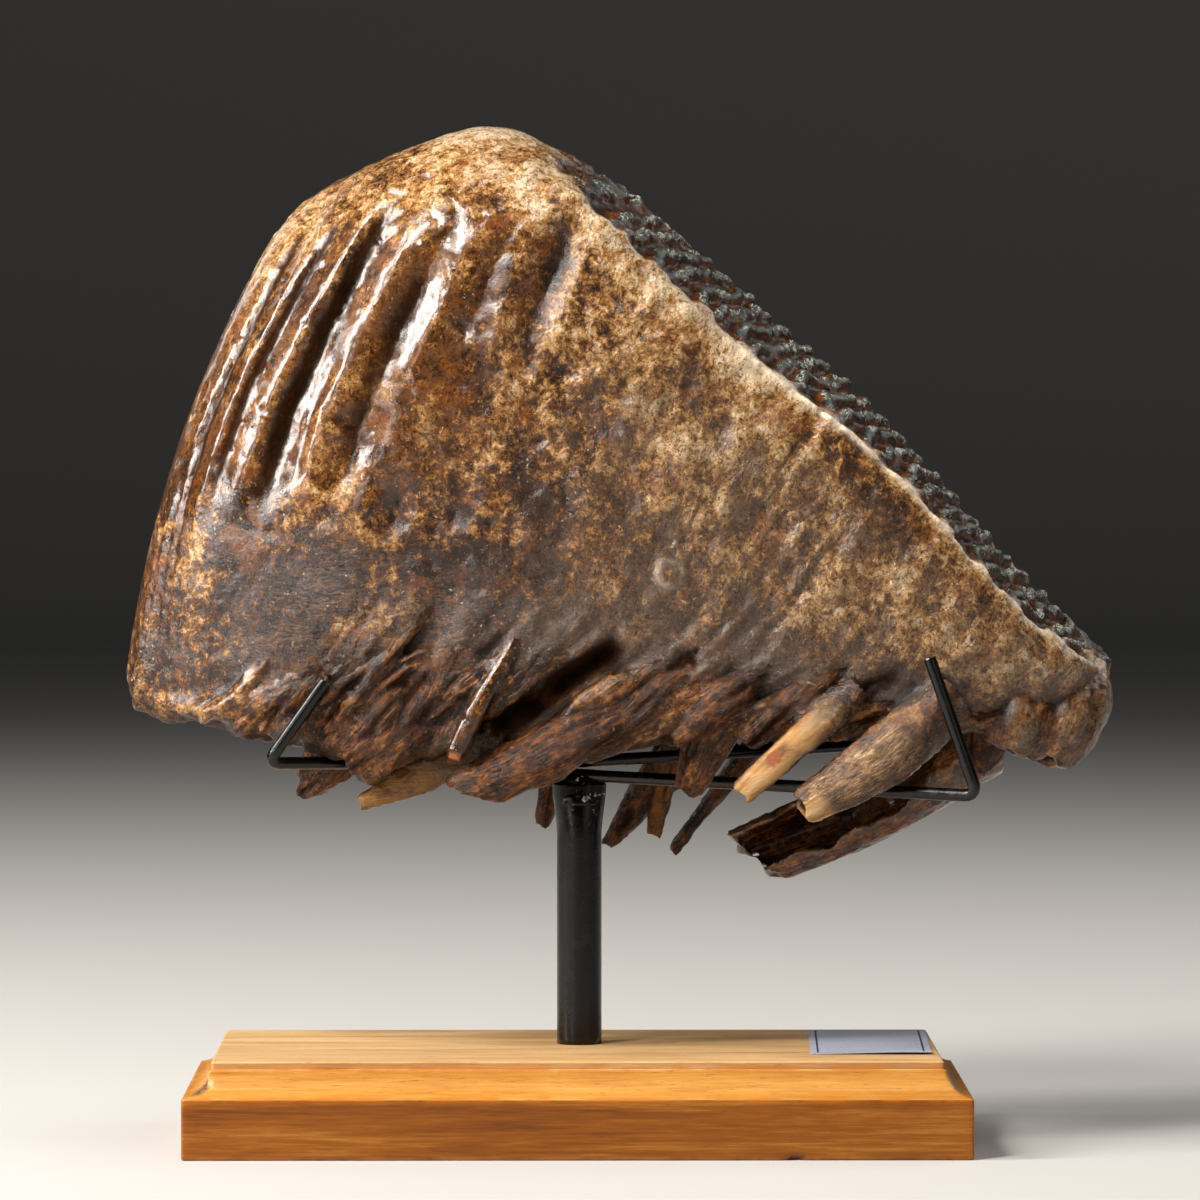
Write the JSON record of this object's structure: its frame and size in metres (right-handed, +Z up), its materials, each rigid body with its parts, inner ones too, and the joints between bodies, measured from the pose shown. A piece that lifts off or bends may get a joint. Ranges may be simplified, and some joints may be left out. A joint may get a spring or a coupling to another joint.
{
  "type": "fossil mammoth molar",
  "caption": "Fossil mammoth molar with a ribbed high crown, worn chewing face and broken roots, held in a bent steel rod cradle on a post and a coved wooden base.",
  "frame": {"origin": "middle of the wooden base's underside, on the surface that it stands on", "axes": "+X along the base to the tooth's low front end, +Y to the tooth's hidden side, +Z up"},
  "size_m": [0.255, 0.1, 0.2618],
  "materials": {
    "molar": "varnished mineralised tooth: ochre and rust mottling, dark grooves, slate enamel on the chewing face",
    "steel": "black paint, satin, chipped at the weld",
    "base": "yellow varnished softwood with fine straight grain",
    "label": "smooth pale paper, bare between two dark ruled lines"
  },
  "bodies": {
    "root": {"molar": "molar", "rod_upper": "steel", "rod_lower": "steel", "post": "steel", "base": "base", "label": "label"}
  },
  "joints": []
}
